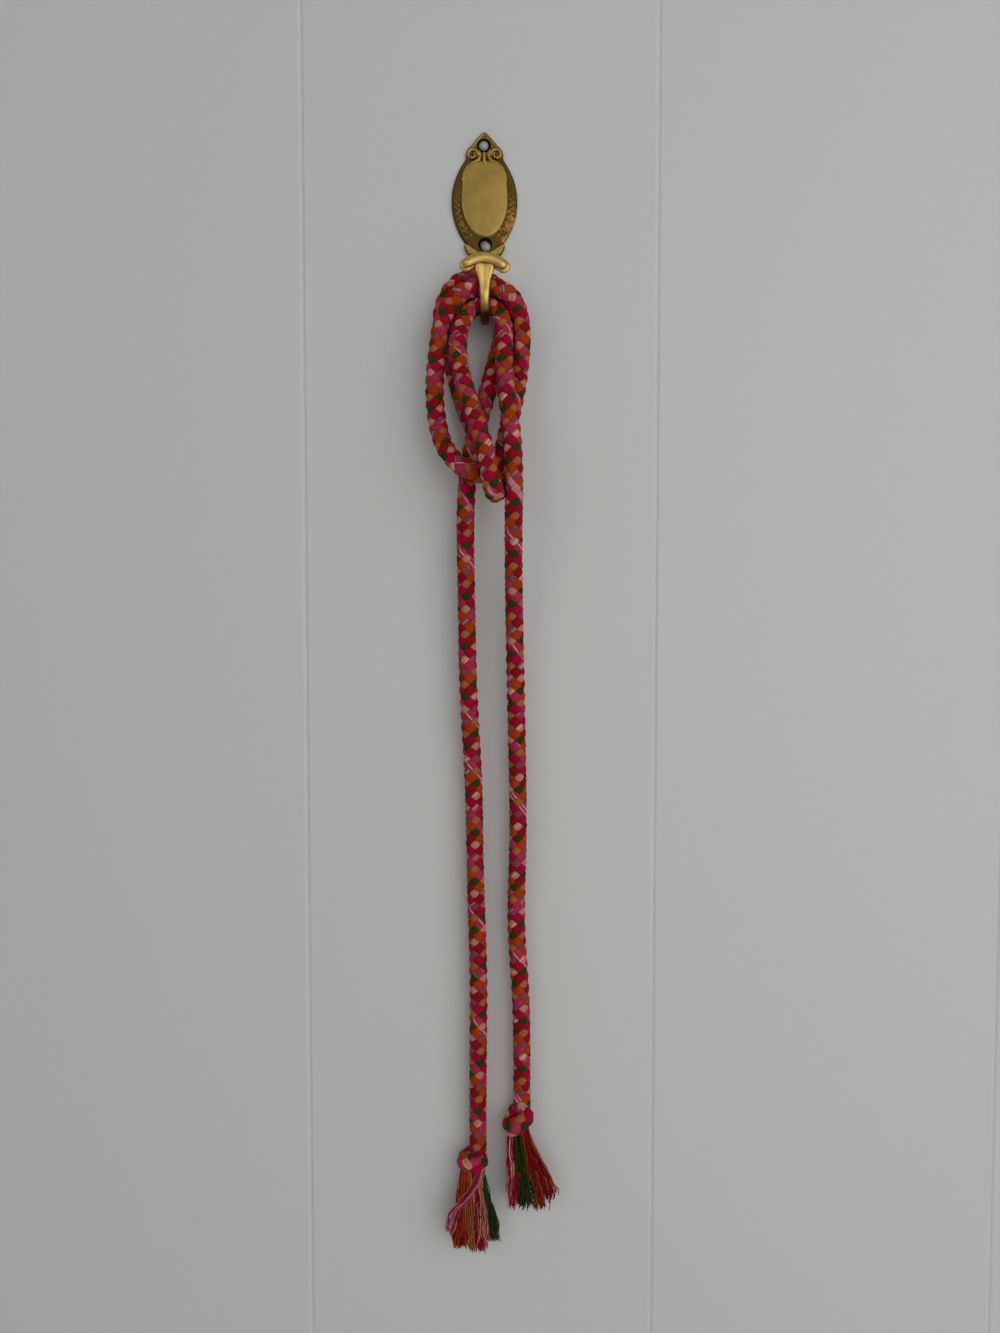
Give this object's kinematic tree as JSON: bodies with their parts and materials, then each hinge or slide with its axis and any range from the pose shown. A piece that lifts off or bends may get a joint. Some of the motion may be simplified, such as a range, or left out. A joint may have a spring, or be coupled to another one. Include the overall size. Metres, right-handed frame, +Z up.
{
  "type": "tie cord on a wall hook",
  "caption": "Braided multicolour tie cord with knotted, frayed ends, hitched over an ornate cast brass hook that is nailed to a wall.",
  "frame": {"origin": "on the back of the hook's plate, where it lies against the wall, between the two nails", "axes": "+Z up, +X to the right seen from the front, +Y into the wall"},
  "size_m": [0.0561, 0.0566, 0.4753],
  "materials": {
    "brass": "cast and lacquered brass, aged brown in the hollows",
    "nail_steel": "dull zinc-plated steel",
    "braid": "round braid of eight strands of soft cotton yarn",
    "yarn_orange": "loose cotton yarn",
    "yarn_tan": "loose cotton yarn",
    "yarn_pink": "loose cotton yarn",
    "yarn_green": "loose cotton yarn",
    "yarn_red": "loose cotton yarn",
    "yarn_cream": "loose cotton yarn",
    "yarn_magenta": "loose cotton yarn",
    "yarn_mauve": "loose cotton yarn"
  },
  "bodies": {
    "hook": {"wall_hook": "brass", "upper_nail": "nail_steel", "lower_nail": "nail_steel"},
    "cord": {"cord": "braid", "left_knot": "braid", "right_knot": "braid", "left_end_orange": "yarn_orange", "left_end_tan": "yarn_tan", "left_end_pink": "yarn_pink", "left_end_green": "yarn_green", "left_end_red": "yarn_red", "left_end_cream": "yarn_cream", "left_end_magenta": "yarn_magenta", "left_end_mauve": "yarn_mauve", "right_end_magenta": "yarn_magenta", "right_end_green": "yarn_green", "right_end_orange": "yarn_orange", "right_end_tan": "yarn_tan", "right_end_pink": "yarn_pink", "right_end_red": "yarn_red", "right_end_cream": "yarn_cream", "right_end_mauve": "yarn_mauve"}
  },
  "joints": [
    {"name": "cord_swing", "type": "hinge", "parent": "hook", "child": "cord", "pos_m": [0.0021, -0.0115, -0.05], "axis": [0, 1, 0], "range_deg": [-6, 6]}
  ]
}
